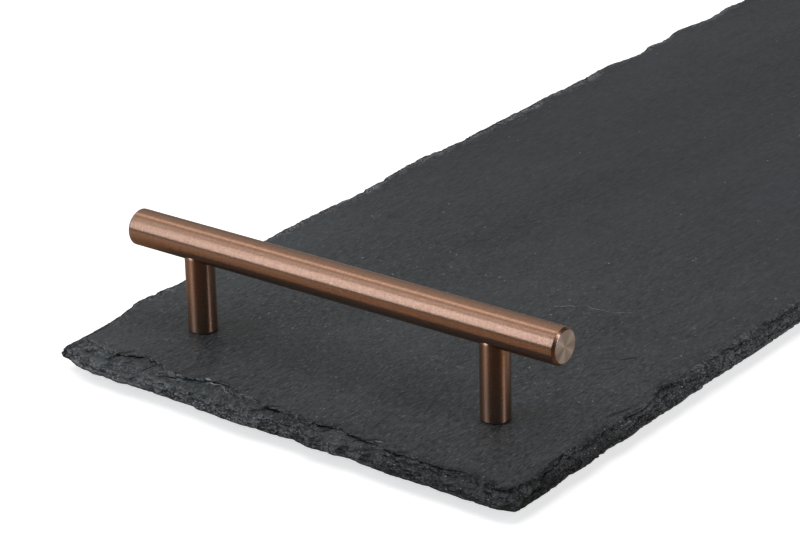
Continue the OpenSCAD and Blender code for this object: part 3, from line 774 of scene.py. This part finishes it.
def turnedPiece(name, profile, centre, axis, turns):
    # a profile of (place along the axis, radius) carried round the axis; u runs along the profile and v
    # round it, so that the brushing can follow the turning
    profile = np.array(profile, float)
    angle = np.arange(turns) / turns * 2 * math.pi
    along, radius = profile[1:-1, 0], profile[1:-1, 1]
    first, second, third = np.roll(np.eye(3), -1 if axis == "x" else 0, axis=0)
    circle = np.cos(angle)[:, None] * first + np.sin(angle)[:, None] * second
    points = (radius[:, None, None] * circle + along[:, None, None] * third).reshape(-1, 3)
    poles = profile[[0, -1], 0][:, None] * third
    points = (np.concatenate([points, poles]) + np.array(centre)) * mm
    rows = len(along)
    i, k = np.meshgrid(np.arange(rows - 1), np.arange(turns), indexing="ij")
    a, b = (i * turns + k).ravel(), (i * turns + (k + 1) % turns).ravel()
    quads = np.stack([a, b, b + turns, a + turns], -1)
    k = np.arange(turns)
    low, high = rows * turns, rows * turns + 1
    last = (rows - 1) * turns
    lowCap = np.stack([np.full(turns, low), (k + 1) % turns, k], -1)
    highCap = np.stack([np.full(turns, high), last + k, last + (k + 1) % turns], -1)
    piece = newPiece(name, points, quads.tolist() + lowCap.tolist() + highCap.tolist())
    # u is the length along the profile and v is 1 for a turn; corners come in the order of the faces above
    run = np.concatenate([[0], np.cumsum(np.hypot(*np.diff(profile, axis=0).T))]) / uvUnit
    step = 1 / turns
    u, upper = np.repeat(run[1:-2], turns), np.repeat(run[2:-1], turns)
    v = np.tile(k, rows - 1) / turns
    turn, level = k / turns, np.zeros(turns)
    quadUv = ((u, v), (u, v + step), (upper, v + step), (upper, v))
    lowUv = ((level + run[0], turn + step / 2), (level + run[1], turn + step), (level + run[1], turn))
    highUv = ((level + run[-1], turn + step / 2), (level + run[-2], turn), (level + run[-2], turn + step))
    values = [np.stack([np.stack(corner, -1) for corner in corners], 1).ravel()
              for corners in (quadUv, lowUv, highUv)]
    uv = piece.data.uv_layers.new(name="turned")
    uv.data.foreach_set("uv", np.concatenate(values).astype(np.float32))
    return piece


def roundedCorner(before, corner, after, size, steps=4):
    # points of a small parabola that cuts a corner of a profile, and begins and ends this far from it
    before, corner, after = (np.array(p, float) for p in (before, corner, after))
    a = corner + (before - corner) / np.linalg.norm(before - corner) * size
    b = corner + (after - corner) / np.linalg.norm(after - corner) * size
    t = np.linspace(0, 1, steps)[:, None]
    return ((1 - t) ** 2 * a + 2 * t * (1 - t) * corner + t ** 2 * b).tolist()


def barProfile(b):
    # out from the middle of the left end to its chamfer, along the side, and the same back at the right
    half, r, c = b["length"] / 2, b["radius"], b["chamfer"]
    end = [(-half, v) for v in np.linspace(0, r - c - b["innerStep"], b["endSteps"])]
    end += roundedCorner((-half, 0), (-half, r - c), (-half + c, r), b["edgeBreak"])
    end += roundedCorner((-half, r - c), (-half + c, r), (0, r), b["edgeBreak"])
    side = [(v, r) for v in np.linspace(b["sideFrom"] - half, half - b["sideFrom"], b["sideSteps"])]
    return end + side + [(-p[0], p[1]) for p in reversed(end)]


def postProfile(p):
    # out from the middle of the foot to its chamfer, up the side, and in over the top inside the bar's seat
    r, c, low, high = p["radius"], p["chamfer"], p["low"], p["high"]
    foot = [(low, v) for v in np.linspace(0, r - c - p["innerStep"], p["endSteps"])]
    foot += roundedCorner((low, 0), (low, r - c), (low + c, r), p["edgeBreak"])
    foot += roundedCorner((low, r - c), (low + c, r), (high, r), p["edgeBreak"])
    side = [(v, r) for v in np.linspace(low + p["sideFrom"], high, p["sideSteps"])]
    return foot + side + [(high, v) for v in np.linspace(r - p["topStep"], 0, p["topSteps"])]


copperLook = {
    # size along the axis and round it in mm, detail, roughness and weight of each noise; the real scratches
    # are below 0.1 mm, and are drawn this coarse so that they show
    "noises": {"lines": (0.2, 3.0, 3.0, 0.65, 0.2), "bands": (0.8, 9.0, 2.0, 0.5, 0.15),
               "specks": (0.5, 0.5, 3.0, 0.7, 0.65)},
    "tones": ("#b48b74", "#d0a68e"), "toneRange": (0.35, 0.65), "roughness": (0.34, 0.27),
    # the end tones are painted sheen: paler, greyer sectors on the turned ends
    "endTones": ("#b89e8e", "#dcc4b4"), "endRange": (0.36, 0.64), "sectorScale": 1.3, "sectorDetail": 1.0,
    "endDepth": 0.1, "depth": 0.007,                              # mm, of the end's tones and the scratches
    "lineHeight": 0.4, "anisotropy": 0.85,
}


def copperMaterial(name, axis, look=copperLook):
    # steel bar, copper plated and brushed while it turned in a lathe: fine scratches run round it, so light
    # smears along the bar and stays sharp across it, with a slightly mottled sheen
    material, tree = newMaterial(name)
    place = addNode(tree, "TexCoord").outputs["Object"]
    noises = {}
    tone = 0.0
    for kind, (along, around, detail, roughness, weight) in look["noises"].items():
        sizes = (along, around, around) if axis == "x" else (around, around, along)
        drawn = addNode(tree, "Mapping", {"Vector": place, "Scale": [size * mm for size in sizes]},
                        vector_type="TEXTURE")
        noises[kind] = addNode(tree, "TexNoise", {"Vector": drawn, "Scale": 1.0, "Detail": detail,
                                                  "Roughness": roughness})
        tone = addNode(tree, "Math", (noises[kind], weight, tone), operation="MULTIPLY_ADD")
    tone = addNode(tree, "MapRange", (tone, *look["toneRange"]))
    dark, light = look["tones"]
    colour = addNode(tree, "Mix", (tone, linear(dark), linear(light)), data_type="RGBA")
    if axis == "x":
        # painted sheen: the turned ends are painted paler and greyer, in sectors from noise read on a circle
        # round the bar's middle
        mirrored = addNode(tree, "VectorMath", (place,), operation="ABSOLUTE")
        centred = addNode(tree, "VectorMath", (mirrored, (0, bar["y"] * mm, bar["z"] * mm)),
                          operation="SUBTRACT")
        flat = addNode(tree, "VectorMath", (centred, (0, 1, 1)), operation="MULTIPLY")
        circle = addNode(tree, "VectorMath", (flat,), operation="NORMALIZE")
        sheenSectors = addNode(tree, "TexNoise", {"Vector": circle, "Scale": look["sectorScale"],
                                             "Detail": look["sectorDetail"]})
        shade = addNode(tree, "MapRange", (sheenSectors, *look["endRange"]))
        dark, light = look["endTones"]
        sheenDisc = addNode(tree, "Mix", (shade, linear(dark), linear(light)), data_type="RGBA")
        parts = addNode(tree, "SeparateXYZ", (mirrored,)).outputs
        onEnd = addNode(tree, "Math", (parts["X"], (bar["length"] / 2 - look["endDepth"]) * mm),
                        operation="GREATER_THAN")
        colour = addNode(tree, "Mix", (onEnd, colour, sheenDisc), data_type="RGBA")
    rough = addNode(tree, "MapRange", (tone, 0.0, 1.0, *look["roughness"]))
    height = addNode(tree, "Math", (noises["lines"], look["lineHeight"], noises["specks"]),
                     operation="MULTIPLY_ADD")
    bump = addNode(tree, "Bump", {"Height": height, "Distance": look["depth"] * mm, "Strength": 1.0})
    tangent = addNode(tree, "Tangent", direction_type="UV_MAP", uv_map="turned")
    shader = addNode(tree, "BsdfPrincipled", {"Base Color": colour, "Metallic": 1.0, "Roughness": rough,
                                              "Anisotropic": look["anisotropy"], "Normal": bump,
                                              "Tangent": tangent})
    addNode(tree, "OutputMaterial", {"Surface": shader})
    return material


barCopper = copperMaterial("brushedCopperBar", "x")
postCopper = copperMaterial("brushedCopperPost", "z")
for end, turn in (("front", -1), ("rear", 1)):
    piece = turnedPiece(end + "Bar", barProfile(bar), (0, turn * bar["y"], bar["z"]), "x", bar["turns"])
    piece.data.materials.append(barCopper)
    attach(piece, "root")
    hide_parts(end + "_handle_bar")
    for sideName, side in (("left", -1), ("right", 1)):
        piece = turnedPiece(end + sideName.capitalize() + "Post", postProfile(post),
                            (side * post["x"], turn * bar["y"], 0), "z", post["turns"])
        piece.data.materials.append(postCopper)
        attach(piece, "root")
        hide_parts(end + "_" + sideName + "_post")
print("handles ready")


# Fasteners and feet
# size of the clouds and depth of the surface in mm, and the roughness of the dark and the light parts
looks = {
    # bright zinc plate over steel: a cool, slightly cloudy metal
    "zincPlatedSteel": {"tones": ("#a9adb2", "#c9cdd1"), "size": 1.2, "roughness": (0.4, 0.27),
                        "depth": 0.01, "metal": 1.0},
    # plain turned steel with a film of oil: darker and greyer, with faint clouds
    "oiledSteel": {"tones": ("#6d6b68", "#8f8d89"), "size": 1.5, "roughness": (0.4, 0.27),
                   "depth": 0.01, "metal": 1.0},
    # black moulded nitrile rubber: matt, with the fine grain of a spark-eroded mould
    "mouldedRubber": {"tones": ("#1a1b1c", "#252627"), "size": 0.35, "roughness": (0.72, 0.62),
                      "depth": 0.03, "metal": 0.0},
}
cloudRange, cloudDetail = (0.35, 0.65), 3.0                       # the noise, and the part of it that shows


def cloudyMaterial(name):
    # one noise of the look's size moves the tone, the roughness and the surface together
    look = looks[name]
    material, tree = newMaterial(name)
    place = addNode(tree, "TexCoord").outputs["Object"]
    cloud = addNode(tree, "TexNoise", {"Vector": place, "Scale": 1 / (look["size"] * mm),
                                       "Detail": cloudDetail})
    tone = addNode(tree, "MapRange", (cloud, *cloudRange))
    dark, light = look["tones"]
    colour = addNode(tree, "Mix", (tone, linear(dark), linear(light)), data_type="RGBA")
    rough = addNode(tree, "MapRange", (tone, 0.0, 1.0, *look["roughness"]))
    bump = addNode(tree, "Bump", {"Height": cloud, "Distance": look["depth"] * mm})
    shader = addNode(tree, "BsdfPrincipled", {"Base Color": colour, "Roughness": rough,
                                              "Metallic": look["metal"], "Normal": bump})
    addNode(tree, "OutputMaterial", {"Surface": shader})
    return material


finishes = {"slate_screw": cloudyMaterial("zincPlatedSteel"), "joining_stud": cloudyMaterial("oiledSteel"),
            "foot": cloudyMaterial("mouldedRubber")}
finishes["washer"] = finishes["slate_screw"]
for name, node in nodes.items():
    for ending, finish in finishes.items():
        if name.endswith(ending):
            node.data.materials.clear()
            node.data.materials.append(finish)
print("fasteners and feet ready")
